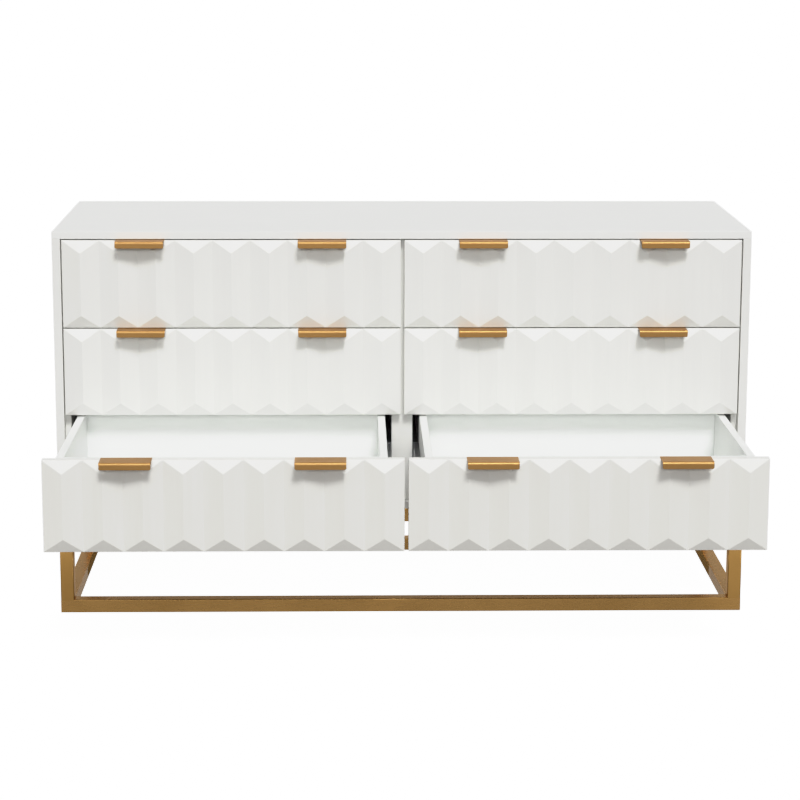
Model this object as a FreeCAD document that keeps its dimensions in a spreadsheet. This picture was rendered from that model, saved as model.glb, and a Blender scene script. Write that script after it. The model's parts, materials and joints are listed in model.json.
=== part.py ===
"""A six-drawer dresser: a white carcass on an open base of square gold tube.

The origin is on the floor, at the centre of the base.  +X runs to the right along the
dresser, +Y to its back and +Z up.  The two bottom drawers are stored drawn out.
"""
import FreeCAD, Part
import os

DIMENSIONS = (
    # carcass
    ("width", 1524),
    ("depth", 560),
    ("height", 858),
    ("board", 16),
    ("side_board", 18),
    ("inner_board", 13),
    ("divider", 46),
    ("back_board", 6),
    # base
    ("base_height", 238),
    ("tube", 30),
    ("tube_wall", 1.5),
    ("tube_edge", 2.5),
    ("base_screw", 2.5),
    ("base_screw_head", 5),
    ("base_screw_bite", 12),
    ("base_screw_inner", 200),
    ("base_screw_outer", 600),
    # drawer fronts
    ("row_gap", 2.5),
    ("centre_gap", 8),
    ("slab", 20),
    ("bumper", 1),
    ("ridge", 10),
    ("hip", 28),
    ("gems", 9),
    ("drawn_out", 432),
    # drawer boxes
    ("box_wall", 16),
    ("box_length", 475),
    ("box_top_drop", 2),
    ("box_lift", 12),
    ("floor_board", 5),
    ("floor_lift", 12),
    ("groove", 6),
    # slides
    ("slide_space", 15),
    ("slide_sheet", 1.5),
    ("slide_rise", 8),
    ("slide_setback", 1),
    ("slide_length", 457),
    ("cabinet_rail", 45),
    ("middle_rail", 38),
    ("drawer_rail", 31),
    # pulls
    ("pull_width", 105),
    ("pull_spread", 395),
    ("pull_reach", 35),
    ("pull_lip", 15),
    ("pull_sheet", 1.5),
    ("pull_bend", 5),
    ("pull_corner", 5),
    ("pull_tongue", 22),
    ("recess", 4),
    ("pull_screw", 1.75),
    ("pull_screw_head", 3.5),
    ("pull_screw_cap", 2),
    ("pull_screw_bite", 12),
    ("pull_screw_spread", 64),
)

ROWS = ("bottom", "middle", "top")
BANKS = (("left", -1), ("right", 1))

# Derived lengths, as expressions on the sheet.
FRONT_WIDTH = "((Dims.width - Dims.centre_gap) / 2 - Dims.side_board - Dims.row_gap)"
FRONT_HEIGHT = "((Dims.height - Dims.base_height - 2 * Dims.board - 4 * Dims.row_gap) / 3)"
GEM_WIDTH = f"({FRONT_WIDTH} / Dims.gems)"
INNER_HEIGHT = "(Dims.height - Dims.base_height - 2 * Dims.board)"
SHELF_Z = "(Dims.base_height + Dims.board)"
FACE_Y = "(-Dims.depth / 2)"
SETBACK_Y = f"({FACE_Y} + Dims.slab + Dims.bumper)"
BAY_OUTER = "(Dims.width / 2 - Dims.side_board - Dims.inner_board)"
BAY_INNER = "(Dims.divider / 2)"
BOX_WIDTH = f"({BAY_OUTER} - {BAY_INNER} - 2 * Dims.slide_space)"
BOX_HEIGHT = f"({FRONT_HEIGHT} - Dims.box_top_drop - Dims.box_lift)"

doc = FreeCAD.newDocument("dresser")
sheet = doc.addObject("Spreadsheet::Sheet", "Dims")
for line, (alias, value) in enumerate(DIMENSIONS, start=1):
    sheet.set(f"A{line}", alias)
    sheet.set(f"B{line}", str(value))
    sheet.setAlias(f"B{line}", alias)
doc.recompute()

nodes = []


def bind(feature, **expressions):
    """Tie properties to expressions; Base_x stands for Placement.Base.x."""
    for name, expression in expressions.items():
        path = f".Placement.Base.{name[-1]}" if name.startswith("Base_") else name
        feature.setExpression(path, expression)


def place(feature, x, y, z):
    bind(feature, Base_x=x, Base_y=y, Base_z=z)
    return feature


def node(feature, label):
    feature.Label = label
    nodes.append(feature)
    return feature


def block(name, size, corner, kind="Part::Box"):
    """A straight board: its three sizes and its lowest corner, as expressions."""
    box = doc.addObject(kind, name)
    bind(box, Length=size[0], Width=size[1], Height=size[2])
    return place(box, *corner)


def cut(name, base, tool):
    result = doc.addObject("Part::Cut", name)
    result.Base = base
    result.Tool = tool
    return result


def group(name, members):
    result = doc.addObject("Part::Compound", name)
    result.Links = members
    return result


def twin(source, normal, **base):
    """The mirror image of a piece, in a plane placed by an expression."""
    image = doc.addObject("Part::Mirroring", source.Name + "_twin")
    image.Source = source
    image.Normal = FreeCAD.Vector(*normal)
    for axis, expression in base.items():
        image.setExpression(f".Base.{axis}", expression)
    return image


def origin_item(body, role):
    return next(item for item in body.Origin.OriginFeatures if item.Role == role)


def solid(body, kind, name, corner, **sizes):
    """Add one primitive to a body, placed in the body's own frame."""
    feature = body.newObject(f"PartDesign::{kind}", name)
    bind(feature, **sizes)
    return place(feature, *corner)


def body_block(body, kind, name, size, corner):
    lengths = dict(zip(("Length", "Width", "Height"), size))
    return solid(body, kind, name, corner, **lengths)


def edges(feature, chosen):
    """The names of the straight edges whose two ends both pass a test."""
    doc.recompute()
    names = []
    for number, edge in enumerate(feature.Shape.Edges, start=1):
        ends = [vertex.Point for vertex in edge.Vertexes]
        if len(ends) == 2 and chosen(*ends):
            names.append(f"Edge{number}")
    return names


def fillet(body, name, base, chosen, radius):
    rounded = body.newObject("PartDesign::Fillet", name)
    rounded.Base = (base, edges(base, chosen))
    bind(rounded, Radius=radius)
    doc.recompute()
    return rounded


def near(a, b):
    return abs(a - b) < 1e-4


# ---------------------------------------------------------------- carcass
SIDE_X = "(Dims.width / 2 - Dims.side_board)"
BACK_Y = "(Dims.depth / 2 - Dims.back_board)"
INNER_DEPTH = f"({BACK_Y} - {SETBACK_Y})"

node(block("TopPanel", ("Dims.width", "Dims.depth", "Dims.board"),
           ("-Dims.width / 2", FACE_Y, "Dims.height - Dims.board")), "top_panel")

for bank, sign in BANKS:
    side_x = SIDE_X if sign > 0 else "-Dims.width / 2"
    node(block("Side" + bank, ("Dims.side_board", "Dims.depth", INNER_HEIGHT),
               (side_x, FACE_Y, SHELF_Z)), f"side_panel_{bank}")

inner_right = block("InnerPanel", ("Dims.inner_board", INNER_DEPTH, INNER_HEIGHT),
                    (BAY_OUTER, SETBACK_Y, SHELF_Z))
node(group("InnerPanels", [inner_right, twin(inner_right, (1, 0, 0))]), "inner_panels")

node(block("Divider", ("Dims.divider", INNER_DEPTH, INNER_HEIGHT),
           (f"-{BAY_INNER}", SETBACK_Y, SHELF_Z)), "centre_divider")

node(block("BackPanel", (f"2 * {SIDE_X}", "Dims.back_board", INNER_HEIGHT),
           (f"-{SIDE_X}", BACK_Y, SHELF_Z)), "back_panel")

# ---------------------------------------------------------------- base
TUBE_Y = "(Dims.depth / 2 - Dims.tube / 2)"
BORE = "(Dims.tube - 2 * Dims.tube_wall)"
FRAME_TOP_Z = "(Dims.base_height - Dims.tube)"
SCREW_AXES = [(f"{side} * Dims.base_screw_{column}", f"{end} * {TUBE_Y}")
              for column in ("inner", "outer") for side in (-1, 1) for end in (-1, 1)]


def tube_loop(name, floor_z, leg_side):
    """A welded loop of square tube, hollow, and open inside each leg it meets."""
    body = doc.addObject("PartDesign::Body", name)
    bind(body, Base_z=floor_z)
    last = body_block(body, "AdditiveBox", name + "Bar",
                      ("Dims.width", "Dims.depth", "Dims.tube"),
                      ("-Dims.width / 2", FACE_Y, "0"))
    last = body_block(body, "SubtractiveBox", name + "Window",
                      ("Dims.width - 2 * Dims.tube", "Dims.depth - 2 * Dims.tube",
                       "Dims.tube"),
                      ("-Dims.width / 2 + Dims.tube", f"{FACE_Y} + Dims.tube", "0"))
    last = fillet(body, name + "Edges", last, lambda a, b: near(a.z, b.z), "Dims.tube_edge")
    for side, sign in (("Front", -1), ("Rear", 1)):
        low_y = FACE_Y if sign < 0 else "(Dims.depth / 2 - Dims.tube)"
        last = body_block(body, "SubtractiveBox", name + side + "Bore",
                          ("Dims.width - 2 * Dims.tube_wall", BORE, BORE),
                          ("-Dims.width / 2 + Dims.tube_wall", f"{low_y} + Dims.tube_wall",
                           "Dims.tube_wall"))
    for bank, sign in BANKS:
        low_x = "-Dims.width / 2" if sign < 0 else "(Dims.width / 2 - Dims.tube)"
        last = body_block(body, "SubtractiveBox", name + bank + "Bore",
                          (BORE, "Dims.depth - 2 * Dims.tube_wall", BORE),
                          (f"{low_x} + Dims.tube_wall", f"{FACE_Y} + Dims.tube_wall",
                           "Dims.tube_wall"))
        for end, low_y in (("Front", FACE_Y), ("Rear", "(Dims.depth / 2 - Dims.tube)")):
            wall_z = "Dims.tube - Dims.tube_wall" if leg_side > 0 else "0"
            last = body_block(body, "SubtractiveBox", name + bank + end + "Mouth",
                              (BORE, BORE, "Dims.tube_wall"),
                              (f"{low_x} + Dims.tube_wall", f"{low_y} + Dims.tube_wall",
                               wall_z))
    return body, last


bottom_frame, bottom_tip = tube_loop("BottomFrame", "0", 1)
bottom_frame.Tip = bottom_tip
node(bottom_frame, "base_bottom_frame")

top_frame, top_tip = tube_loop("TopFrame", FRAME_TOP_Z, -1)
for number, (x, y) in enumerate(SCREW_AXES):
    top_tip = solid(top_frame, "SubtractiveCylinder", f"TopFrameHole{number}", (x, y, "0"),
                    Radius="Dims.base_screw", Height="Dims.tube")
top_frame.Tip = top_tip
node(top_frame, "base_top_frame")

leg = doc.addObject("PartDesign::Body", "Leg")
place(leg, "Dims.width / 2 - Dims.tube", "Dims.depth / 2 - Dims.tube", "Dims.tube")
LEG_HEIGHT = "Dims.base_height - 2 * Dims.tube"
leg_bar = body_block(leg, "AdditiveBox", "LegBar", ("Dims.tube", "Dims.tube", LEG_HEIGHT),
                     ("0", "0", "0"))
leg_edges = fillet(leg, "LegEdges", leg_bar, lambda a, b: not near(a.z, b.z),
                   "Dims.tube_edge")
leg.Tip = body_block(leg, "SubtractiveBox", "LegBore", (BORE, BORE, LEG_HEIGHT),
                     ("Dims.tube_wall", "Dims.tube_wall", "0"))
leg_left = twin(leg, (1, 0, 0))
node(group("Legs", [leg, leg_left, twin(leg, (0, 1, 0)), twin(leg_left, (0, 1, 0))]),
     "base_legs")

screws = []
pilots = []
for number, (x, y) in enumerate(SCREW_AXES):
    shank = doc.addObject("Part::Cylinder", f"BaseShank{number}")
    bind(shank, Radius="Dims.base_screw", Height="Dims.tube + Dims.base_screw_bite")
    place(shank, x, y, FRAME_TOP_Z)
    head = doc.addObject("Part::Cylinder", f"BaseHead{number}")
    bind(head, Radius="Dims.base_screw_head", Height="Dims.pull_screw_cap")
    place(head, x, y, f"{FRAME_TOP_Z} - Dims.pull_screw_cap")
    screw = doc.addObject("Part::Fuse", f"BaseScrew{number}")
    screw.Base = shank
    screw.Tool = head
    screws.append(screw)
    pilot = doc.addObject("Part::Cylinder", f"BasePilot{number}")
    bind(pilot, Radius="Dims.base_screw", Height="Dims.base_screw_bite")
    pilots.append(place(pilot, x, y, "Dims.base_height"))
node(group("BaseScrews", screws), "base_screws")

floor_panel = block("FloorPanel", ("Dims.width", "Dims.depth", "Dims.board"),
                    ("-Dims.width / 2", FACE_Y, "Dims.base_height"))
node(cut("DrilledFloorPanel", floor_panel, group("FloorPilots", pilots)), "bottom_panel")


# ---------------------------------------------------------------- drawers
def channel(name, near_x, reach, height, web_first, y, z):
    """A folded steel rail of C section, lying along Y; web_first sets its closed side."""
    bar = block(name + "Bar", (reach, "Dims.slide_length", height), (near_x, y, z))
    hollow_x = f"{near_x} + Dims.slide_sheet" if web_first else near_x
    hollow = block(name + "Hollow",
                   (f"{reach} - Dims.slide_sheet", "Dims.slide_length",
                    f"{height} - 2 * Dims.slide_sheet"),
                   (hollow_x, y, f"{z} + Dims.slide_sheet"))
    return cut(name, bar, hollow)


def make_front(tag, label, centre_x, face_y, z):
    """A slab with a row of hipped gems along its face, drilled behind for the pulls."""
    body = doc.addObject("PartDesign::Body", "Front" + tag)
    place(body, centre_x, face_y, z)
    body_block(body, "AdditiveBox", "Slab" + tag, (FRONT_WIDTH, "Dims.slab", FRONT_HEIGHT),
               (f"-{FRONT_WIDTH} / 2", "0", "0"))
    gem = solid(body, "AdditiveWedge", "Gem" + tag,
                (f"({GEM_WIDTH} - {FRONT_WIDTH}) / 2", "0", "0"),
                Xmin=f"-{GEM_WIDTH} / 2", Xmax=f"{GEM_WIDTH} / 2", X2min="0", X2max="0",
                Ymin="0", Ymax="Dims.ridge",
                Zmin="0", Zmax=FRONT_HEIGHT, Z2min="Dims.hip",
                Z2max=f"{FRONT_HEIGHT} - Dims.hip")
    gem.Placement.Rotation = FreeCAD.Rotation(FreeCAD.Vector(0, 0, 1), 180)
    doc.recompute()
    row = body.newObject("PartDesign::LinearPattern", "Gems" + tag)
    row.Originals = [gem]
    row.Direction = (origin_item(body, "X_Axis"), [""])
    bind(row, Length=f"{FRONT_WIDTH} - {GEM_WIDTH}", Occurrences="Dims.gems")
    body.Tip = row
    last = row
    for side, sign in BANKS:
        pull_x = f"{sign} * Dims.pull_spread / 2"
        last = body_block(body, "SubtractiveBox", f"Recess{side}{tag}",
                          ("Dims.pull_width + 1", "Dims.recess", "Dims.pull_tongue + 1"),
                          (f"{pull_x} - (Dims.pull_width + 1) / 2", "Dims.slab - Dims.recess",
                           f"{FRONT_HEIGHT} - Dims.pull_tongue - 1"))
        for end in (-1, 1):
            x = f"{pull_x} + {end} * Dims.pull_screw_spread / 2"
            last = solid(body, "SubtractiveCylinder", f"Pilot{side}{end + 1}{tag}",
                         (x, "Dims.slab - Dims.recess",
                          f"{FRONT_HEIGHT} - Dims.pull_tongue / 2"),
                         Radius="Dims.pull_screw", Height="Dims.pull_screw_bite")
            last.Placement.Rotation = FreeCAD.Rotation(FreeCAD.Vector(1, 0, 0), 90)
    body.Tip = last
    return node(body, label + "_front")


def make_pull(tag, centre_x, face_y, top_z):
    """A strip folded down behind the front, over its top edge and down again as a lip."""
    body = doc.addObject("PartDesign::Body", "Pull" + tag)
    place(body, f"{centre_x} - Dims.pull_width / 2", face_y, top_z)
    tongue_y = "(Dims.slab - Dims.recess)"
    body_block(body, "AdditiveBox", "Plate" + tag,
               ("Dims.pull_width", f"{tongue_y} + Dims.pull_sheet + Dims.pull_reach",
                "Dims.pull_sheet"),
               ("0", "-Dims.pull_reach", "0"))
    body_block(body, "AdditiveBox", "Lip" + tag,
               ("Dims.pull_width", "Dims.pull_sheet", "Dims.pull_lip"),
               ("0", "-Dims.pull_reach", "Dims.pull_sheet - Dims.pull_lip"))
    folded = body_block(body, "AdditiveBox", "Tongue" + tag,
                        ("Dims.pull_width", "Dims.pull_sheet",
                         "Dims.pull_tongue + Dims.pull_sheet"),
                        ("0", tongue_y, "-Dims.pull_tongue"))
    doc.recompute()
    reach = body.getObject("Plate" + tag).Placement.Base.y
    sheet_thickness = body.getObject("Plate" + tag).Height.Value

    def along_fold(y, z):
        return lambda a, b: (near(a.y, y) and near(b.y, y) and near(a.z, z)
                             and near(b.z, z))

    bent = fillet(body, "FoldOutside" + tag, folded, along_fold(reach, sheet_thickness),
                  "Dims.pull_bend")
    bent = fillet(body, "FoldInside" + tag, bent,
                  along_fold(reach + sheet_thickness, 0),
                  "Dims.pull_bend - Dims.pull_sheet")
    lip_z = body.getObject("Lip" + tag).Placement.Base.z
    body.Tip = fillet(body, "LipCorners" + tag, bent,
                      lambda a, b: near(a.z, lip_z) and near(b.z, lip_z) and near(a.x, b.x),
                      "Dims.pull_corner")
    return body


def make_pull_screw(name, x, y, z):
    """A pan-head screw pointing towards the front, its head behind the pull's tongue."""
    shank = doc.addObject("Part::Cylinder", name + "Shank")
    bind(shank, Radius="Dims.pull_screw", Height="Dims.pull_sheet + Dims.pull_screw_bite")
    head = doc.addObject("Part::Cylinder", name + "Head")
    bind(head, Radius="Dims.pull_screw_head", Height="Dims.pull_screw_cap")
    place(shank, x, f"{y} + Dims.pull_sheet", z)
    place(head, x, f"{y} + Dims.pull_sheet + Dims.pull_screw_cap", z)
    for piece in (shank, head):
        piece.Placement.Rotation = FreeCAD.Rotation(FreeCAD.Vector(1, 0, 0), 90)
    screw = doc.addObject("Part::Fuse", name)
    screw.Base = shank
    screw.Tool = head
    return screw


def make_drawer(row, row_name, bank, sign):
    """One drawer with its front, box, pulls and slides; the bottom row is drawn out."""
    tag = f"_{row_name}_{bank}"
    label = f"{row_name}_{bank}"
    out = "Dims.drawn_out" if row_name == "bottom" else "0"
    face_y = f"({FACE_Y} - {out})"
    front_z = f"({SHELF_Z} + Dims.row_gap + {row} * ({FRONT_HEIGHT} + Dims.row_gap))"
    front_x = f"({sign} * (Dims.centre_gap + {FRONT_WIDTH}) / 2)"
    bay_x = f"({sign} * ({BAY_OUTER} + {BAY_INNER}) / 2)"
    box_y = f"({face_y} + Dims.slab)"
    box_z = f"({front_z} + Dims.box_lift)"
    box_x = f"({bay_x} - {BOX_WIDTH} / 2)"
    floor_z = f"({box_z} + Dims.floor_lift)"

    make_front(tag, label, front_x, face_y, front_z)

    inside_x = f"({box_x} + Dims.box_wall)"
    board = block("SideBoard" + tag, ("Dims.box_wall", "Dims.box_length", BOX_HEIGHT),
                  (box_x, box_y, box_z))
    slot = block("SideSlot" + tag,
                 ("Dims.groove", "Dims.box_length - 2 * Dims.box_wall + 2 * Dims.groove",
                  "Dims.floor_board"),
                 (f"{inside_x} - Dims.groove", f"{box_y} + Dims.box_wall - Dims.groove",
                  floor_z))
    side = cut("BoxSide" + tag, board, slot)
    node(group("BoxSides" + tag, [side, twin(side, (1, 0, 0), x=bay_x)]),
         label + "_box_sides")

    end_board = block("EndBoard" + tag,
                      (f"{BOX_WIDTH} - 2 * Dims.box_wall", "Dims.box_wall", BOX_HEIGHT),
                      (inside_x, box_y, box_z))
    end_slot = block("EndSlot" + tag,
                     (f"{BOX_WIDTH} - 2 * Dims.box_wall", "Dims.groove", "Dims.floor_board"),
                     (inside_x, f"{box_y} + Dims.box_wall - Dims.groove", floor_z))
    end = cut("BoxEnd" + tag, end_board, end_slot)
    middle_y = f"{box_y} + Dims.box_length / 2"
    node(group("BoxEnds" + tag, [end, twin(end, (0, 1, 0), y=middle_y)]),
         label + "_box_ends")

    node(block("BoxFloor" + tag,
               (f"{BOX_WIDTH} - 2 * Dims.box_wall + 2 * Dims.groove",
                "Dims.box_length - 2 * Dims.box_wall + 2 * Dims.groove", "Dims.floor_board"),
               (f"{inside_x} - Dims.groove", f"{box_y} + Dims.box_wall - Dims.groove",
                floor_z)), label + "_box_floor")

    top_z = f"({front_z} + {FRONT_HEIGHT})"
    pull_x = f"({front_x} - Dims.pull_spread / 2)"
    pull = make_pull(tag, pull_x, face_y, top_z)
    tongue_y = f"({face_y} + Dims.slab - Dims.recess)"
    holes = []
    pull_screws = []
    for end_sign in (-1, 1):
        x = f"{pull_x} + {end_sign} * Dims.pull_screw_spread / 2"
        z = f"{top_z} - Dims.pull_tongue / 2"
        hole = doc.addObject("Part::Cylinder", f"TongueHole{end_sign + 1}{tag}")
        bind(hole, Radius="Dims.pull_screw", Height="Dims.pull_sheet")
        place(hole, x, f"{tongue_y} + Dims.pull_sheet", z)
        hole.Placement.Rotation = FreeCAD.Rotation(FreeCAD.Vector(1, 0, 0), 90)
        holes.append(hole)
        pull_screws.append(make_pull_screw(f"PullScrew{end_sign + 1}{tag}", x, tongue_y, z))
    drilled = cut("DrilledPull" + tag, pull, group("TongueHoles" + tag, holes))
    node(group("Pulls" + tag, [drilled, twin(drilled, (1, 0, 0), x=front_x)]),
         label + "_pulls")
    screws = group("PullScrews" + tag, pull_screws)
    node(group("AllPullScrews" + tag, [screws, twin(screws, (1, 0, 0), x=front_x)]),
         label + "_pull_screws")

    bay_left = f"({box_x} - Dims.slide_space)"
    axis_z = f"({front_z} + {FRONT_HEIGHT} / 2 + Dims.slide_rise)"
    closed_y = f"({SETBACK_Y} + Dims.slide_setback)"
    cabinet = channel("CabinetRail" + tag, bay_left,
                      "(Dims.slide_space - 2 * Dims.slide_sheet)",
                      "Dims.cabinet_rail", True, closed_y,
                      f"({axis_z} - Dims.cabinet_rail / 2)")
    cabinet_rails.extend([cabinet, twin(cabinet, (1, 0, 0), x=bay_x)])

    middle = channel("MiddleRail" + tag, f"({bay_left} + 2 * Dims.slide_sheet)",
                     "(Dims.slide_space - 4 * Dims.slide_sheet)", "Dims.middle_rail", True,
                     f"({closed_y} - {out} / 2)", f"({axis_z} - Dims.middle_rail / 2)")
    node(group("MiddleRails" + tag, [middle, twin(middle, (1, 0, 0), x=bay_x)]),
         label + "_middle_rails")

    drawer_rail = channel("DrawerRail" + tag, f"({bay_left} + 4 * Dims.slide_sheet)",
                          "(Dims.slide_space - 4 * Dims.slide_sheet)", "Dims.drawer_rail",
                          False, f"({closed_y} - {out})",
                          f"({axis_z} - Dims.drawer_rail / 2)")
    node(group("DrawerRails" + tag, [drawer_rail, twin(drawer_rail, (1, 0, 0), x=bay_x)]),
         label + "_drawer_rails")


cabinet_rails = []
for row, row_name in enumerate(ROWS):
    for bank, sign in BANKS:
        make_drawer(row, row_name, bank, sign)
node(group("CabinetRails", cabinet_rails), "cabinet_rails")

doc.recompute()
for feature in doc.Objects:
    if "Invalid" in feature.State or "Error" in feature.State:
        raise RuntimeError(f"{feature.Name} did not compute")
for piece in nodes:
    if piece.Shape.isNull() or not piece.Shape.isValid() or not piece.Shape.Solids:
        raise RuntimeError(f"{piece.Label} has no valid solid")

os.makedirs("parts", exist_ok=True)
for piece in nodes:
    piece.Shape.exportStep(f"parts/{piece.Label}.step")
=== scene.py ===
"""Looks of the six-drawer dresser: lacquered boards, gold tube, folded pulls, ball slides."""
import json
import math

import bmesh
import bpy
from mathutils import Matrix, Vector

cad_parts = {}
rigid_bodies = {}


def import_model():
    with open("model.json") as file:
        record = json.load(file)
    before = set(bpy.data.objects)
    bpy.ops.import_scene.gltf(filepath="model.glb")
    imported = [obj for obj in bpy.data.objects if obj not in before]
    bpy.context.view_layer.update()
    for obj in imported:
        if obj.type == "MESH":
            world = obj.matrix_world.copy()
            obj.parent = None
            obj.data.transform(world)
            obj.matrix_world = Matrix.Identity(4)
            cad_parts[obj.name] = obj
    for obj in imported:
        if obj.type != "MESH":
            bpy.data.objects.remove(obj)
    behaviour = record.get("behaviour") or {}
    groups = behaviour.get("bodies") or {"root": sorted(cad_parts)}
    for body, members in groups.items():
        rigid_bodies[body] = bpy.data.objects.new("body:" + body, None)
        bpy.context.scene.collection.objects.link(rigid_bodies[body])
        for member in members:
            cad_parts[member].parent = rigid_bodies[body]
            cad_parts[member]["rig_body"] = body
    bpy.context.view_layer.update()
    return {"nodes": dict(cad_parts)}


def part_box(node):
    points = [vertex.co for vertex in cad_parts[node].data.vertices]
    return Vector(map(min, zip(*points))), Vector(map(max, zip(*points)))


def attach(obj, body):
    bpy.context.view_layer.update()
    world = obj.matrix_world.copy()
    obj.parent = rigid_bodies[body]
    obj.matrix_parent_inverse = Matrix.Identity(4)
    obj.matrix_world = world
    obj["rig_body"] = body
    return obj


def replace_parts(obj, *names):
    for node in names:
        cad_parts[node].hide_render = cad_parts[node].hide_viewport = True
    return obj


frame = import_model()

MM = 0.001
ROWS = ("bottom", "middle", "top")
BANKS = ("left", "right")
DRAWERS = [f"{row}_{bank}" for row in ROWS for bank in BANKS]
MERGE_GAP = 2e-5
scene = bpy.context.scene

# ------------------------------------------------------------------ camera
CAMERA_PLACE = (-0.1165, -5.5162, 1.5507)
CAMERA_YAW = math.radians(1.221)
CAMERA_DIP = math.radians(11.506)
CAMERA_ROLL = math.radians(0.142)
CAMERA_LENS = 109.07

camera_data = bpy.data.cameras.new("camera")
camera_data.lens = CAMERA_LENS
camera_data.sensor_width = 36.0
camera = bpy.data.objects.new("camera", camera_data)
camera.location = CAMERA_PLACE
camera.rotation_euler = (Matrix.Rotation(-CAMERA_YAW, 3, "Z")
                         @ Matrix.Rotation(math.pi / 2 - CAMERA_DIP, 3, "X")
                         @ Matrix.Rotation(CAMERA_ROLL, 3, "Z")).to_euler()
scene.collection.objects.link(camera)
scene.camera = camera

# ------------------------------------------------------------------ tone
TONE_RANGE = 2.0
STAGE_WHITE = 1.4
TONE_POINTS = ((0.0, 0.0), (0.72, 0.72), (0.95, 0.845), (1.15, 0.885), (1.38, 1.0),
               (TONE_RANGE, 1.0))

view = scene.view_settings
view.view_transform = "Standard"
view.use_curve_mapping = True
view.curve_mapping.white_level = (TONE_RANGE,) * 3
shoulder = view.curve_mapping.curves[3]
for light, _ in TONE_POINTS[1:-1]:
    shoulder.points.new(light / TONE_RANGE, light)
for point, (light, shown) in zip(shoulder.points, TONE_POINTS):
    point.location = (light / TONE_RANGE, shown)
    point.handle_type = "VECTOR"
view.curve_mapping.update()


# ------------------------------------------------------------------ materials
class Shader:
    """A small builder for one procedural material."""

    def __init__(self, name):
        self.material = bpy.data.materials.new(name)
        self.material.use_nodes = True
        self.tree = self.material.node_tree
        self.surface = self.tree.nodes["Principled BSDF"]

    def node(self, kind, **settings):
        made = self.tree.nodes.new(kind)
        for name, value in settings.items():
            setattr(made, name, value)
        return made

    def link(self, source, target):
        self.tree.links.new(source, target)

    def set(self, **values):
        for name, value in values.items():
            self.surface.inputs[name.replace("_", " ")].default_value = value

    def coordinates(self, stretch=(1, 1, 1)):
        place = self.node("ShaderNodeTexCoord")
        mapping = self.node("ShaderNodeMapping")
        mapping.inputs["Scale"].default_value = stretch
        self.link(place.outputs["Object"], mapping.inputs["Vector"])
        return mapping.outputs["Vector"]

    def noise(self, scale, detail=3.0, roughness=0.5, stretch=(1, 1, 1)):
        made = self.node("ShaderNodeTexNoise")
        made.inputs["Scale"].default_value = scale
        made.inputs["Detail"].default_value = detail
        made.inputs["Roughness"].default_value = roughness
        self.link(self.coordinates(stretch), made.inputs["Vector"])
        return made.outputs["Fac"]

    def ramp(self, factor, low, high, start=0.3, end=0.7):
        made = self.node("ShaderNodeValToRGB")
        made.color_ramp.elements[0].position = start
        made.color_ramp.elements[1].position = end
        made.color_ramp.elements[0].color = (*low, 1)
        made.color_ramp.elements[1].color = (*high, 1)
        self.link(factor, made.inputs["Fac"])
        return made.outputs["Color"]

    def mix(self, factor, a, b):
        made = self.node("ShaderNodeMix", data_type="RGBA", blend_type="MIX")
        self.link(factor, made.inputs["Factor"])
        for socket, value in (("A", a), ("B", b)):
            target = next(i for i in made.inputs if i.name == socket and i.type == "RGBA")
            if isinstance(value, tuple):
                target.default_value = (*value, 1)
            else:
                self.link(value, target)
        return next(o for o in made.outputs if o.type == "RGBA")

    def spread(self, factor, low, high, start=0.0, end=1.0):
        """Map a factor onto a range, for roughness and masks."""
        made = self.node("ShaderNodeMapRange")
        made.inputs["From Min"].default_value = start
        made.inputs["From Max"].default_value = end
        made.inputs["To Min"].default_value = low
        made.inputs["To Max"].default_value = high
        self.link(factor, made.inputs["Value"])
        return made.outputs["Result"]

    def bump(self, height, strength, distance, normal=None):
        made = self.node("ShaderNodeBump")
        made.inputs["Strength"].default_value = strength
        made.inputs["Distance"].default_value = distance
        self.link(height, made.inputs["Height"])
        if normal is not None:
            self.link(normal, made.inputs["Normal"])
        return made.outputs["Normal"]

    def into(self, source, name):
        self.link(source, self.surface.inputs[name])


def make_lacquer(name, light, dark, roughness, grain=(0.12, 1.0, 1.0)):
    """White sprayed lacquer: faint cloudiness, brush-fine streaks, orange peel, a sheen."""
    shader = Shader(name)
    clouds = shader.noise(5.0, detail=4.0)
    streaks = shader.noise(90.0, detail=5.0, stretch=grain)
    tone = shader.ramp(clouds, dark, light)
    lined = shader.mix(shader.spread(streaks, 0.0, 1.0, 0.38, 0.62), tone, dark)
    shader.into(lined, "Base Color")
    shader.into(shader.spread(streaks, roughness - 0.05, roughness + 0.05), "Roughness")
    peel = shader.noise(420.0, detail=2.0)
    waves = shader.noise(28.0, detail=2.0)
    soft = shader.bump(waves, 0.10, 0.0010)
    shader.into(shader.bump(peel, 0.08, 0.0003, soft), "Normal")
    shader.set(Specular_IOR_Level=0.4, Coat_Weight=0.08, Coat_Roughness=0.25)
    return shader.material


def make_gold(name, light, dark, roughness, grain, edge):
    """Satin gold finish on metal: drifting tone, fine grain; edge is its grazing tint."""
    shader = Shader(name)
    drift = shader.noise(9.0, detail=5.0)
    tone = shader.ramp(drift, dark, light, 0.25, 0.75)
    lines = shader.noise(260.0, detail=4.0, stretch=grain)
    deeper = tuple(0.65 * a + 0.35 * b for a, b in zip(dark, light))
    fine = shader.mix(shader.spread(lines, 0.0, 0.35), tone, deeper)
    shader.into(fine, "Base Color")
    shader.into(shader.spread(lines, roughness - 0.06, roughness + 0.08), "Roughness")
    shader.into(shader.bump(lines, 0.04, 0.0002), "Normal")
    shader.set(Metallic=0.8, Specular_Tint=(*edge, 1), Coat_Weight=0.06,
               Coat_Roughness=0.3)
    return shader.material


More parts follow.
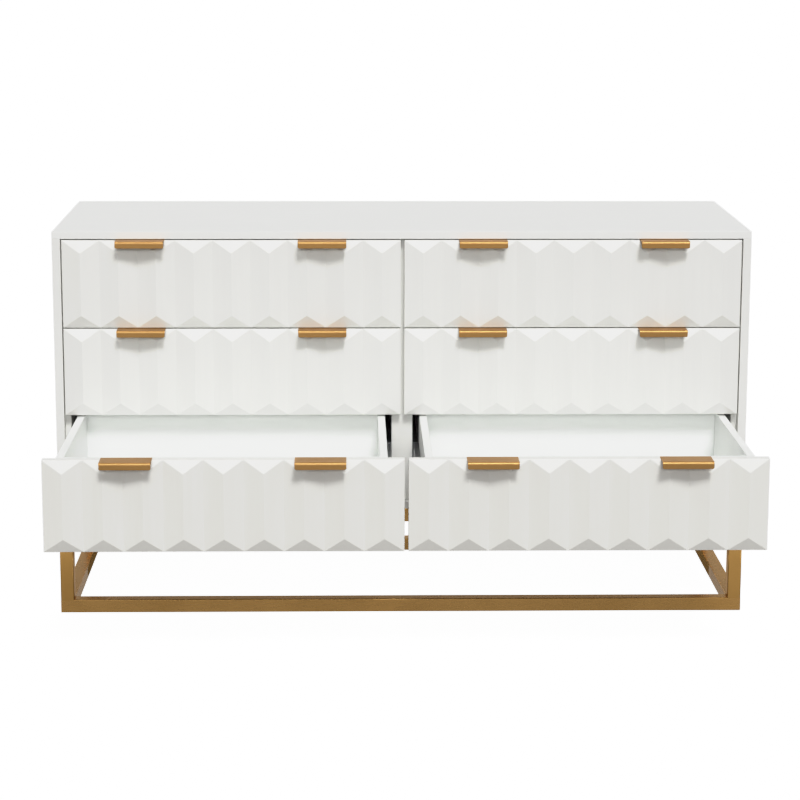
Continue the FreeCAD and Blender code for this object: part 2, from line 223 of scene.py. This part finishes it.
def make_steel(name, light, dark, roughness):
    """Zinc-plated steel with blotchy crystals and a trace of oil."""
    shader = Shader(name)
    blotches = shader.noise(55.0, detail=6.0, roughness=0.65)
    shader.into(shader.ramp(blotches, dark, light), "Base Color")
    scratches = shader.noise(300.0, detail=3.0, stretch=(1.0, 0.05, 1.0))
    shader.into(shader.spread(scratches, roughness - 0.1, roughness + 0.12), "Roughness")
    shader.into(shader.bump(scratches, 0.08, 0.0002), "Normal")
    shader.set(Metallic=1.0)
    return shader.material


LACQUER = make_lacquer("white_lacquer", (0.80, 0.80, 0.765), (0.78, 0.78, 0.745), 0.38)
FRONT_LACQUER = make_lacquer("white_front", (0.828, 0.828, 0.792), (0.81, 0.81, 0.774), 0.38,
                            (1.0, 1.0, 0.06))
# The top panel's lacquer is painted lighter than the other boards. This is painted light,
# standing in for the light and sheen the top catches from above.
TOP_LACQUER_PAINTED_LIGHTER = make_lacquer("white_top_painted_lighter", (0.84, 0.845, 0.82), (0.825, 0.83, 0.805), 0.36)
INSIDE = make_lacquer("white_inside", (0.84, 0.855, 0.84), (0.825, 0.84, 0.825), 0.42)
# The drawer boxes' sides and ends are painted lighter than their floors. This is painted light,
# lifting the shade that falls on them inside the drawers.
INSIDE_WALLS_PAINTED_LIGHTER = make_lacquer("white_inside_walls_painted_lighter", (0.93, 0.94, 0.92), (0.91, 0.92, 0.90), 0.42)
INSIDE_ENDS_PAINTED_LIGHTER = make_lacquer("white_inside_ends_painted_lighter", (0.88, 0.90, 0.875), (0.865, 0.885, 0.86), 0.42)
# Legs and rails are one gold finish. The legs' tone is painted lighter than the rails' as
# painted light, standing in for the stronger light on the legs.
LEG_GOLD_PAINTED_LIGHTER = make_gold("gold_leg_painted_lighter", (0.58, 0.325, 0.097), (0.50, 0.275, 0.077), 0.30,
                     (1.0, 1.0, 0.08), (1.0, 0.76, 0.46))
RAIL_GOLD = make_gold("gold_rail", (0.52, 0.293, 0.094), (0.44, 0.242, 0.073), 0.27,
                      (0.12, 0.12, 1.0), (1.0, 0.84, 0.62))
PULL_GOLD = make_gold("gold_pull", (0.385, 0.211, 0.071), (0.345, 0.187, 0.060), 0.32,
                      (0.05, 1.0, 1.0), (1.0, 0.80, 0.62))
RUBBER = make_lacquer("clear_rubber", (0.62, 0.63, 0.62), (0.55, 0.56, 0.55), 0.5)
ZINC = make_steel("zinc_steel", (0.36, 0.37, 0.38), (0.23, 0.24, 0.25), 0.34)


# ------------------------------------------------------------------ pieces
def body_of(node):
    return frame["nodes"][node]["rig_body"]


def settle(obj, node_names):
    """Put a finished piece in the place of its CAD nodes, on their body."""
    scene.collection.objects.link(obj)
    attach(obj, body_of(node_names[0]))
    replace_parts(obj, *node_names)
    return obj


def weigh_normals(obj):
    """Keep flat faces flat in shading and let only the rounded edges turn."""
    for polygon in obj.data.polygons:
        polygon.use_smooth = True
    modifier = obj.modifiers.new("normals", "WEIGHTED_NORMAL")
    modifier.keep_sharp = False
    modifier.weight = 100
    bpy.context.view_layer.objects.active = obj
    bpy.ops.object.modifier_apply(modifier=modifier.name)


def round_edges(shape, radius, segments, least_turn=12):
    """Round every edge of a bmesh that turns more than least_turn degrees."""
    sharp = [edge for edge in shape.edges if edge.is_manifold
             and edge.calc_face_angle() > math.radians(least_turn)
             and edge.calc_length() > 3 * radius]
    bmesh.ops.bevel(shape, geom=sharp, offset=radius, segments=segments, profile=0.5,
                    affect="EDGES", clamp_overlap=True)


def soften(node, radius, material, segments=3):
    """A copy of a CAD node with its arrises rounded, as lacquer leaves them."""
    mesh = frame["nodes"][node].data.copy()
    shape = bmesh.new()
    shape.from_mesh(mesh)
    bmesh.ops.remove_doubles(shape, verts=shape.verts, dist=MERGE_GAP)
    bmesh.ops.dissolve_limit(shape, angle_limit=math.radians(1), verts=shape.verts,
                             edges=shape.edges)
    round_edges(shape, radius, segments)
    shape.to_mesh(mesh)
    shape.free()
    mesh.materials.clear()
    mesh.materials.append(material)
    obj = bpy.data.objects.new(node + "_soft", mesh)
    settle(obj, [node])
    weigh_normals(obj)
    return obj


BOARD_EDGE = 0.9 * MM
FACET_EDGE = 0.7 * MM
soften("top_panel", BOARD_EDGE, TOP_LACQUER_PAINTED_LIGHTER)
for panel in ("bottom_panel", "side_panel_left", "side_panel_right",
              "inner_panels", "centre_divider"):
    soften(panel, BOARD_EDGE, LACQUER)
back = soften("back_panel", BOARD_EDGE, LACQUER)
for drawer in DRAWERS:
    soften(drawer + "_front", FACET_EDGE, FRONT_LACQUER, segments=2)
    soften(drawer + "_box_sides", BOARD_EDGE, INSIDE_WALLS_PAINTED_LIGHTER)
    soften(drawer + "_box_ends", BOARD_EDGE, INSIDE_ENDS_PAINTED_LIGHTER)
    soften(drawer + "_box_floor", 0.3 * MM, INSIDE)

# ------------------------------------------------------------------ pulls
PULL_SHEET = 1.5 * MM
PULL_BEND = 5.0 * MM
PULL_REAR_BEND = PULL_SHEET * 1.2
PULL_LIP = 15.0 * MM
PULL_CORNER = 3.0 * MM
PULL_EDGE = 0.35 * MM
LIP_STEPS = 8
TONGUE_STEP = 4 * MM


def arc(centre, radius, start, end, steps):
    """Points on a circle in the YZ plane, angles in degrees from +Y towards +Z."""
    turns = [math.radians(start + (end - start) * i / steps) for i in range(steps + 1)]
    return [(centre[0] + radius * math.cos(t), centre[1] + radius * math.sin(t))
            for t in turns]


def fold_line(front, rear, top, tongue_bottom, depth):
    """The pull's section at a given depth below its outer face, from tongue to lip."""
    bend = PULL_BEND - depth
    rear_bend = max(PULL_REAR_BEND - depth, 0.2 * MM)
    points = [(rear - depth, tongue_bottom + TONGUE_STEP * i) for i in range(3)]
    points += arc((rear - PULL_REAR_BEND, top - PULL_REAR_BEND), rear_bend, 0, 90, 4)
    points += arc((front + PULL_BEND, top - PULL_BEND), bend, 90, 180, 8)
    lip_bottom = top - PULL_LIP
    drop = top - PULL_BEND - lip_bottom
    points += [(front + depth, top - PULL_BEND - drop * (i + 1) / LIP_STEPS)
               for i in range(LIP_STEPS)]
    return points


def make_pull(shape, low_x, high_x, front, rear, top, tongue_bottom):
    """Add one folded pull: a closed strip with rounded lip corners."""
    middle, half = (low_x + high_x) / 2, (high_x - low_x) / 2
    outer = fold_line(front, rear, top, tongue_bottom, 0.0)
    inner = fold_line(front, rear, top, tongue_bottom, PULL_SHEET)
    lip_bottom = top - PULL_LIP
    shares = [-1, -0.96, -0.5, 0, 0.5, 0.96, 1]

    def half_width(z, is_lip):
        above = z - lip_bottom
        if not is_lip or above >= PULL_CORNER:
            return half
        rest = PULL_CORNER - max(above, 0.0)
        return half - PULL_CORNER + math.sqrt(max(PULL_CORNER ** 2 - rest ** 2, 0.0))

    def rows(line):
        made = []
        for index, (y, z) in enumerate(line):
            is_lip = index > len(line) - LIP_STEPS - 2
            wide = half_width(z, is_lip)
            made.append([shape.verts.new((middle + wide * share, y, z))
                         for share in shares])
        return made

    out_rows, in_rows = rows(outer), rows(inner)
    last = len(shares) - 1
    for a, b, c, d in zip(out_rows, out_rows[1:], in_rows, in_rows[1:]):
        for i in range(last):
            shape.faces.new((a[i], b[i], b[i + 1], a[i + 1]))
            shape.faces.new((c[i + 1], d[i + 1], d[i], c[i]))
        shape.faces.new((a[0], c[0], d[0], b[0]))
        shape.faces.new((b[last], d[last], c[last], a[last]))
    for i in range(last):
        shape.faces.new((out_rows[0][i + 1], in_rows[0][i + 1], in_rows[0][i],
                         out_rows[0][i]))
        shape.faces.new((out_rows[-1][i], in_rows[-1][i], in_rows[-1][i + 1],
                         out_rows[-1][i + 1]))


def two_parts(node):
    """The X extents of a node's left and right loose parts."""
    low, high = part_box(node)
    middle = (low.x + high.x) / 2
    across = [v.co.x for v in frame["nodes"][node].data.vertices]
    left = [x for x in across if x < middle]
    right = [x for x in across if x > middle]
    return (min(left), max(left)), (min(right), max(right))


for drawer in DRAWERS:
    node = drawer + "_pulls"
    low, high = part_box(node)
    shape = bmesh.new()
    for low_x, high_x in two_parts(node):
        make_pull(shape, low_x, high_x, low.y, high.y, high.z, low.z)
    bmesh.ops.recalc_face_normals(shape, faces=shape.faces)
    sharp = [edge for edge in shape.edges if edge.calc_face_angle() > math.radians(50)]
    bmesh.ops.bevel(shape, geom=sharp, offset=PULL_EDGE, segments=2, profile=0.5,
                    affect="EDGES", clamp_overlap=True)
    mesh = bpy.data.meshes.new(node + "_folded")
    shape.to_mesh(mesh)
    shape.free()
    mesh.materials.append(PULL_GOLD)
    obj = bpy.data.objects.new(node + "_folded", mesh)
    settle(obj, [node])
    weigh_normals(obj)

# ------------------------------------------------------------------ base tube
TUBE_EDGE = 2.0 * MM
TUBE_STEPS = 5
CORNERS = ((1, 1), (-1, 1), (-1, -1), (1, -1))


def square_section(side, radius, steps):
    """Outline of a square with rounded corners, centred on the origin."""
    flat_half = side / 2 - radius
    points = []
    for quarter, (across, up) in enumerate(CORNERS):
        points += arc((across * flat_half, up * flat_half), radius,
                      90 * quarter, 90 * quarter + 90, steps)
    return points


def skin(shape, rings, closed):
    """Quads between neighbouring rings of vertices, and caps unless they close."""
    pairs = list(zip(rings, rings[1:])) + ([(rings[-1], rings[0])] if closed else [])
    count = len(rings[0])
    for near, far in pairs:
        for i in range(count):
            j = (i + 1) % count
            shape.faces.new((near[i], near[j], far[j], far[i]))
    if not closed:
        shape.faces.new(rings[0])
        shape.faces.new(rings[-1])


def finish(name, shape, nodes, material):
    """Turn a bmesh into a settled piece with weighted normals."""
    bmesh.ops.recalc_face_normals(shape, faces=shape.faces)
    mesh = bpy.data.meshes.new(name)
    shape.to_mesh(mesh)
    shape.free()
    mesh.materials.append(material)
    obj = bpy.data.objects.new(name, mesh)
    scene.collection.objects.link(obj)
    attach(obj, body_of(nodes[0]))
    weigh_normals(obj)
    return obj


for loop in ("base_bottom_frame", "base_top_frame"):
    low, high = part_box(loop)
    tube = high.z - low.z
    middle = (low + high) / 2
    reach_x, reach_y = (high.x - low.x - tube) / 2, (high.y - low.y - tube) / 2
    shape = bmesh.new()
    outline = square_section(tube, TUBE_EDGE, TUBE_STEPS)
    rings = [[shape.verts.new((middle.x + across * (reach_x + out),
                               middle.y + along * (reach_y + out), middle.z + up))
              for out, up in outline] for across, along in CORNERS]
    skin(shape, rings, closed=True)
    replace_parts(finish(loop + "_tube", shape, [loop], RAIL_GOLD), loop)

low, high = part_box("base_legs")
shape = bmesh.new()
for across, along in CORNERS:
    centre_x = across * (high.x - tube / 2)
    centre_y = along * (high.y - tube / 2)
    outline = square_section(tube, TUBE_EDGE, TUBE_STEPS)
    skin(shape, [[shape.verts.new((centre_x + x, centre_y + y, z)) for x, y in outline]
                 for z in (low.z - TUBE_EDGE, high.z + TUBE_EDGE)], closed=False)
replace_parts(finish("base_legs_tube", shape, ["base_legs"], LEG_GOLD_PAINTED_LIGHTER),
            "base_legs")

# ------------------------------------------------------------------ slides
RAIL_EDGE = 0.3 * MM
RAIL_SHEET = 1.5 * MM
SLOT_LONG = 24 * MM
SLOT_HIGH = 6 * MM
SLOT_PLACES = (0.12, 0.34, 0.66, 0.88)


def islands(node):
    """The low and high corners of each loose part of a CAD node."""
    shape = bmesh.new()
    shape.from_mesh(frame["nodes"][node].data)
    bmesh.ops.remove_doubles(shape, verts=shape.verts, dist=MERGE_GAP)
    seen, boxes = set(), []
    for start in shape.verts:
        if start in seen:
            continue
        seen.add(start)
        part, queue = [], [start]
        while queue:
            vertex = queue.pop()
            part.append(vertex.co)
            for edge in vertex.link_edges:
                other = edge.other_vert(vertex)
                if other not in seen:
                    seen.add(other)
                    queue.append(other)
        boxes.append((Vector([min(c[i] for c in part) for i in range(3)]),
                      Vector([max(c[i] for c in part) for i in range(3)])))
    shape.free()
    return boxes


def cut_with(obj, cutter_shape):
    """Take a closed bmesh out of an object."""
    bmesh.ops.recalc_face_normals(cutter_shape, faces=cutter_shape.faces)
    mesh = bpy.data.meshes.new("cutter")
    cutter_shape.to_mesh(mesh)
    cutter_shape.free()
    cutter = bpy.data.objects.new("cutter", mesh)
    scene.collection.objects.link(cutter)
    modifier = obj.modifiers.new("cut", "BOOLEAN")
    modifier.operation = "DIFFERENCE"
    modifier.solver = "EXACT"
    modifier.object = cutter
    bpy.context.view_layer.objects.active = obj
    bpy.ops.object.modifier_apply(modifier=modifier.name)
    bpy.data.objects.remove(cutter)
    bpy.data.meshes.remove(mesh)


def slot_cutter(shape, low_x, high_x, y, z):
    """A round-ended slot through a rail's web."""
    end = SLOT_HIGH / 2
    half = SLOT_LONG / 2 - end
    outline = arc((y + half, z), end, -90, 90, 8) + arc((y - half, z), end, 90, 270, 8)
    skin(shape, [[shape.verts.new((x, a, b)) for a, b in outline]
                 for x in (low_x, high_x)], closed=False)


for node in ["cabinet_rails"] + [d + k for d in DRAWERS
                                 for k in ("_middle_rails", "_drawer_rails")]:
    rail = soften(node, RAIL_EDGE, ZINC, segments=2)
    if node.endswith("_middle_rails"):
        slots = bmesh.new()
        for low, high in islands(node):
            for share in SLOT_PLACES:
                slot_cutter(slots, low.x - MM, high.x + MM,
                            low.y + share * (high.y - low.y), (low.z + high.z) / 2)
        cut_with(rail, slots)

# ------------------------------------------------------------------ screws
HEAD_SIDES = 28


def head_mesh(radius, height):
    """A pan head standing on the origin along +Z, with a tapered cross recess."""
    shape = bmesh.new()
    profile = [(1.0, 0.0), (1.0, 0.45), (0.93, 0.72), (0.78, 0.90), (0.5, 0.98)]
    rings = [[shape.verts.new((radius * r * math.cos(2 * math.pi * i / HEAD_SIDES),
                               radius * r * math.sin(2 * math.pi * i / HEAD_SIDES),
                               height * h)) for i in range(HEAD_SIDES)]
             for r, h in profile]
    skin(shape, rings, closed=False)
    bmesh.ops.recalc_face_normals(shape, faces=shape.faces)
    mesh = bpy.data.meshes.new("head")
    shape.to_mesh(mesh)
    shape.free()
    head = bpy.data.objects.new("head", mesh)
    scene.collection.objects.link(head)
    wide, deep = 0.13 * radius, 0.35 * height
    for long_x, long_y in ((0.62 * radius, wide), (wide, 0.62 * radius)):
        cutter = bmesh.new()
        skin(cutter, [[cutter.verts.new((x * long_x * taper, y * long_y * taper, z))
                       for x, y in CORNERS]
                      for taper, z in ((0.72, deep), (1.12, 1.3 * height))], closed=False)
        cut_with(head, cutter)
    finished = head.data
    bpy.data.objects.remove(head)
    return finished


def add_head(shape, template, place, direction):
    """Stamp a head template into a bmesh, standing on place and pointing outwards."""
    turned = template.copy()
    turn = Vector(direction).to_track_quat("Z", "Y").to_matrix().to_4x4()
    turned.transform(Matrix.Translation(place) @ turn)
    shape.from_mesh(turned)
    bpy.data.meshes.remove(turned)


def add_shank(shape, start, end, radius):
    """A plain shank between two points."""
    along = (end - start).normalized()
    side = along.orthogonal().normalized()
    other = along.cross(side)
    skin(shape, [[shape.verts.new(point + radius * (math.cos(t) * side
                                                    + math.sin(t) * other))
                  for t in (2 * math.pi * i / 12 for i in range(12))]
                 for point in (start, end)], closed=False)


def replace_screws(node, out, radius, cap, shank):
    """Detailed screws in place of a node's plain ones; out points from shank to head."""
    template = head_mesh(radius, cap)
    shape = bmesh.new()
    out = Vector(out)
    for low, high in islands(node):
        centre, half = (low + high) / 2, (high - low) / 2
        reach = abs(half.dot(out))
        seat = centre + out * (reach - cap)
        add_head(shape, template, seat, out)
        add_shank(shape, seat, centre - out * reach, shank)
    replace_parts(finish(node + "_cross", shape, [node], ZINC), node)


replace_screws("base_screws", (0, 0, -1), 5 * MM, 2 * MM, 2.5 * MM)
for drawer in DRAWERS:
    replace_screws(drawer + "_pull_screws", (0, 1, 0), 3.5 * MM, 2 * MM, 1.75 * MM)

BOX_SCREW = head_mesh(4.5 * MM, 1.8 * MM)
DRAWER_RAIL_SCREW = head_mesh(3.6 * MM, 1.4 * MM)
CABINET_RAIL_SCREW = head_mesh(3.4 * MM, 0.9 * MM)
RAIL_SCREW_PLACES = (0.07, 0.47, 0.90)
BOX_SCREW_INSET = 62 * MM


def rail_screws(shape, template, low, high, head_side):
    """Three heads on the inner face of a rail's web; head_side is +1 towards +X."""
    web = (low.x if head_side > 0 else high.x) + head_side * RAIL_SHEET
    for share in RAIL_SCREW_PLACES:
        add_head(shape, template,
                 Vector((web, low.y + share * (high.y - low.y), (low.z + high.z) / 2)),
                 (head_side, 0, 0))


for drawer in DRAWERS:
    shape = bmesh.new()
    box_low, box_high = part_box(drawer + "_box_sides")
    box_middle = (box_low + box_high) / 2
    for low, high in islands(drawer + "_drawer_rails"):
        side = 1 if low.x > box_middle.x else -1
        rail_screws(shape, DRAWER_RAIL_SCREW, low, high, side)
    finish(drawer + "_rail_screws", shape, [drawer + "_drawer_rails"], ZINC)

    shape = bmesh.new()
    front_end = min(islands(drawer + "_box_ends"), key=lambda box: box[0].y)
    height = front_end[1].z - front_end[0].z
    for x in (front_end[0].x + BOX_SCREW_INSET, front_end[1].x - BOX_SCREW_INSET):
        for share in (0.3, 0.78):
            add_head(shape, BOX_SCREW,
                     Vector((x, front_end[1].y, front_end[0].z + share * height)),
                     (0, 1, 0))
    finish(drawer + "_front_screws", shape, [drawer + "_box_ends"], ZINC)

shape = bmesh.new()
for low, high in islands("cabinet_rails"):
    bank_middle = math.copysign(
        sum(abs(corner.x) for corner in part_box("bottom_right_box_sides")) / 2, low.x)
    rail_screws(shape, CABINET_RAIL_SCREW, low, high, 1 if low.x < bank_middle else -1)
finish("cabinet_rail_screws", shape, ["cabinet_rails"], ZINC)

# ------------------------------------------------------------------ back nails
NAIL_HEAD = 2.8 * MM
DIMPLE = 3.6 * MM
DIMPLE_DEEP = 0.6 * MM
NAIL_INSET = 9 * MM
NAIL_ROWS = 5
NAIL_COLUMNS = 11
DIMPLE_SIDES = 16


def ring(shape, centre, radius, y):
    """A ring of vertices facing the back."""
    return [shape.verts.new((centre[0] + radius * math.cos(2 * math.pi * i / DIMPLE_SIDES),
                             y,
                             centre[1] + radius * math.sin(2 * math.pi * i / DIMPLE_SIDES)))
            for i in range(DIMPLE_SIDES)]


low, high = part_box("back_panel")
columns = [low.x + NAIL_INSET + (high.x - low.x - 2 * NAIL_INSET) * i / (NAIL_COLUMNS - 1)
           for i in range(NAIL_COLUMNS)]
levels = [low.z + NAIL_INSET + (high.z - low.z - 2 * NAIL_INSET) * i / (NAIL_ROWS - 1)
          for i in range(NAIL_ROWS)]
nails = [(x, z) for i, x in enumerate(columns) for j, z in enumerate(levels)
         if i in (0, NAIL_COLUMNS // 2, NAIL_COLUMNS - 1) or j in (0, NAIL_ROWS - 1)]
dimples, heads = bmesh.new(), bmesh.new()
for spot in nails:
    skin(dimples, [ring(dimples, spot, DIMPLE * 0.8, high.y - DIMPLE_DEEP),
                   ring(dimples, spot, DIMPLE * 1.1, high.y + DIMPLE_DEEP * 0.5)], closed=False)
    skin(heads, [ring(heads, spot, NAIL_HEAD, high.y - DIMPLE_DEEP),
                 ring(heads, spot, NAIL_HEAD, high.y - DIMPLE_DEEP * 0.5),
                 ring(heads, spot, NAIL_HEAD * 0.6, high.y - DIMPLE_DEEP * 0.35)],
         closed=False)
cut_with(back, dimples)
finish("back_nails", heads, ["back_panel"], ZINC)

# ------------------------------------------------------------------ bumpers
BUMPER_RADIUS = 4 * MM
BUMPER_DEEP = 0.85 * MM
BUMPER_LIFT = 14 * MM
opening_low, opening_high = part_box("cabinet_rails")
divider_low, divider_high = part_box("centre_divider")
for drawer in DRAWERS:
    front_low, front_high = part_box(drawer + "_front")
    if front_high.x < 0:
        edges = (opening_low.x, divider_low.x)
    else:
        edges = (divider_high.x, opening_high.x)
    shape = bmesh.new()
    for x in ((front_low.x + edges[0]) / 2, (front_high.x + edges[1]) / 2):
        for z in (front_low.z + BUMPER_LIFT, front_high.z - BUMPER_LIFT):
            skin(shape, [ring(shape, (x, z), BUMPER_RADIUS * share,
                              front_high.y + BUMPER_DEEP * deep)
                         for share, deep in ((1, 0), (1, 0.4), (0.85, 0.8), (0.6, 1))],
                 closed=False)
    finish(drawer + "_bumpers", shape, [drawer + "_front"], RUBBER)

# ------------------------------------------------------------------ other CAD nodes
for node, obj in frame["nodes"].items():
    if not obj.hide_render:
        obj.data.materials.clear()
        obj.data.materials.append(ZINC)

# ------------------------------------------------------------------ stage
STAGE_REACH = 45.0
DOME_SHARE = 0.95
FLOOR_DROP = 0.5 * MM
DIM_BAND = (8, 11, 26, 34)  # degrees above the floor: fading in, dim from, dim to, gone
DIM_SHARE = 0.2


def shaded_glow(paint):
    """Dim the backdrop in DIM_BAND, like the wall between a studio's light panels."""
    coordinates = paint.node("ShaderNodeTexCoord")
    split = paint.node("ShaderNodeSeparateXYZ")
    paint.link(coordinates.outputs["Object"], split.inputs["Vector"])
    height = paint.spread(split.outputs["Z"], 0.0, 1.0, 0.0, STAGE_REACH)
    low, dim_low, dim_high, high = (math.sin(math.radians(angle)) for angle in DIM_BAND)
    ramp = paint.node("ShaderNodeValToRGB")
    stops = ramp.color_ramp.elements
    stops[0].position, stops[1].position = low, high
    stops[0].color = stops[1].color = (1, 1, 1, 1)
    for position in (dim_low, dim_high):
        stops.new(position).color = (DIM_SHARE, DIM_SHARE, DIM_SHARE, 1)
    paint.link(height, ramp.inputs["Fac"])
    paint.into(ramp.outputs["Color"], "Emission Color")


def stage_piece(name, build, role, albedo, glow, banded=False):
    """A studio surface for one kind of ray: camera, glossy or diffuse."""
    mesh = bpy.data.meshes.new(name)
    shape = bmesh.new()
    build(shape)
    shape.to_mesh(mesh)
    shape.free()
    obj = bpy.data.objects.new(name, mesh)
    scene.collection.objects.link(obj)
    paint = Shader(name + "_paint")
    tone = paint.noise(0.8, detail=2.0)
    paint.into(paint.ramp(tone, albedo, tuple(1.03 * part for part in albedo)), "Base Color")
    paint.set(Roughness=0.9, Specular_IOR_Level=0.1)
    if glow:
        paint.set(Emission_Color=(1, 1, 1, 1), Emission_Strength=glow)
    if banded:
        shaded_glow(paint)
    mesh.materials.append(paint.material)
    obj.visible_camera = role == "camera"
    obj.visible_diffuse = role == "diffuse"
    obj.visible_glossy = role == "glossy"
    obj.visible_transmission = role == "glossy"
    obj.visible_shadow = False


def flat(shape):
    """A floor just under the legs, so that it never meets their undersides."""
    bmesh.ops.create_grid(shape, x_segments=1, y_segments=1, size=STAGE_REACH)
    bmesh.ops.translate(shape, verts=shape.verts, vec=(0, 0, -FLOOR_DROP))


def dome(shape):
    """A round backdrop on every side."""
    bmesh.ops.create_icosphere(shape, subdivisions=4, radius=STAGE_REACH * DOME_SHARE)


WHITE, PALE, WARM = (0.07, 0.07, 0.07), (0.25, 0.25, 0.25), (0.085, 0.067, 0.050)
BACKDROP_GLOW = 0.95
FLOOR_GLOW = 0.42
FLOOR_WHITE = STAGE_WHITE - 0.06
WORLD_GLOW = 0.34
stage_piece("floor", flat, "camera", WHITE, FLOOR_WHITE)
stage_piece("backdrop", dome, "camera", PALE, STAGE_WHITE)
stage_piece("floor_mirrored", flat, "glossy", WHITE, FLOOR_GLOW)
stage_piece("backdrop_mirrored", dome, "glossy", PALE, BACKDROP_GLOW, banded=True)
stage_piece("floor_bounce", flat, "diffuse", WARM, 0.0)

world = bpy.data.worlds.new("studio")
world.use_nodes = True
world.node_tree.nodes["Background"].inputs["Color"].default_value = (1.0, 1.0, 1.0, 1)
world.node_tree.nodes["Background"].inputs["Strength"].default_value = WORLD_GLOW
scene.world = world


def distant_light(name, height, turn, softness, strength, glossy=True):
    """A far soft light: its height above the floor and turn to the right of the front."""
    light = bpy.data.lights.new(name, "SUN")
    light.angle = math.radians(softness)
    light.energy = strength * math.pi
    obj = bpy.data.objects.new(name, light)
    up, side = math.radians(height), math.radians(turn)
    source = Vector((math.sin(side) * math.cos(up), -math.cos(side) * math.cos(up),
                     math.sin(up)))
    obj.rotation_euler = source.to_track_quat("Z", "Y").to_euler()
    obj.visible_glossy = glossy
    scene.collection.objects.link(obj)


distant_light("key", 49, 10, 15, 0.69)
distant_light("fill", 16, -3, 14, 0.25)
distant_light("rear_left", 6, -125, 12, 0.40, glossy=False)
distant_light("rear_right", 6, 125, 12, 0.40, glossy=False)
